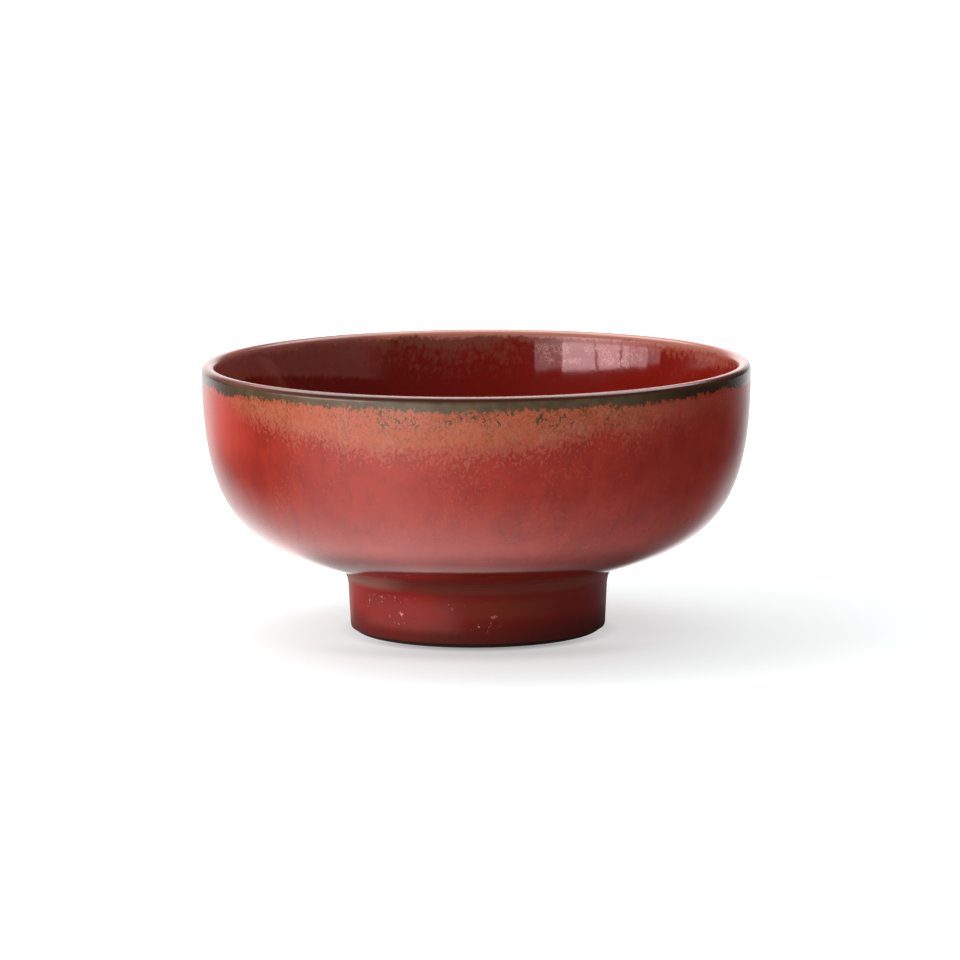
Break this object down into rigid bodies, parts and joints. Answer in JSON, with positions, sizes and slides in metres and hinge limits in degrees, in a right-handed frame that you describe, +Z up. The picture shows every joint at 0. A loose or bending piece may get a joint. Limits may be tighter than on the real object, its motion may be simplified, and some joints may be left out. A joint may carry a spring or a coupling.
{
  "type": "footed bowl",
  "caption": "Round footed bowl of glazed stoneware, with a deep wall that turns in sharply to a straight hollow foot, a rounded lip and a bare foot ring to stand on.",
  "frame": {"origin": "on the bowl's axis, in the plane that the foot stands on", "axes": "+Z up along the bowl's axis; the bowl is round, so +X and +Y are free"},
  "size_m": [0.15, 0.15, 0.0737],
  "materials": {
    "stoneware": "bare dark brown fired clay, matt and slightly gritty",
    "slip": "fine matt fired slip",
    "red_glaze": "glossy iron and copper red glaze, breaking to mottled orange and olive flecks under the rim",
    "inside_glaze": "glossy deep red glaze with faint runs",
    "olive_glaze": "glossy olive brown glaze, thin over the lip"
  },
  "bodies": {
    "root": {"bowl_body": "stoneware", "foot_ring": "stoneware", "slip_joint": "slip", "inside_glaze": "inside_glaze", "outside_glaze": "red_glaze", "rim_glaze": "olive_glaze", "foot_glaze": "red_glaze", "foot_recess_glaze": "inside_glaze"}
  },
  "joints": []
}
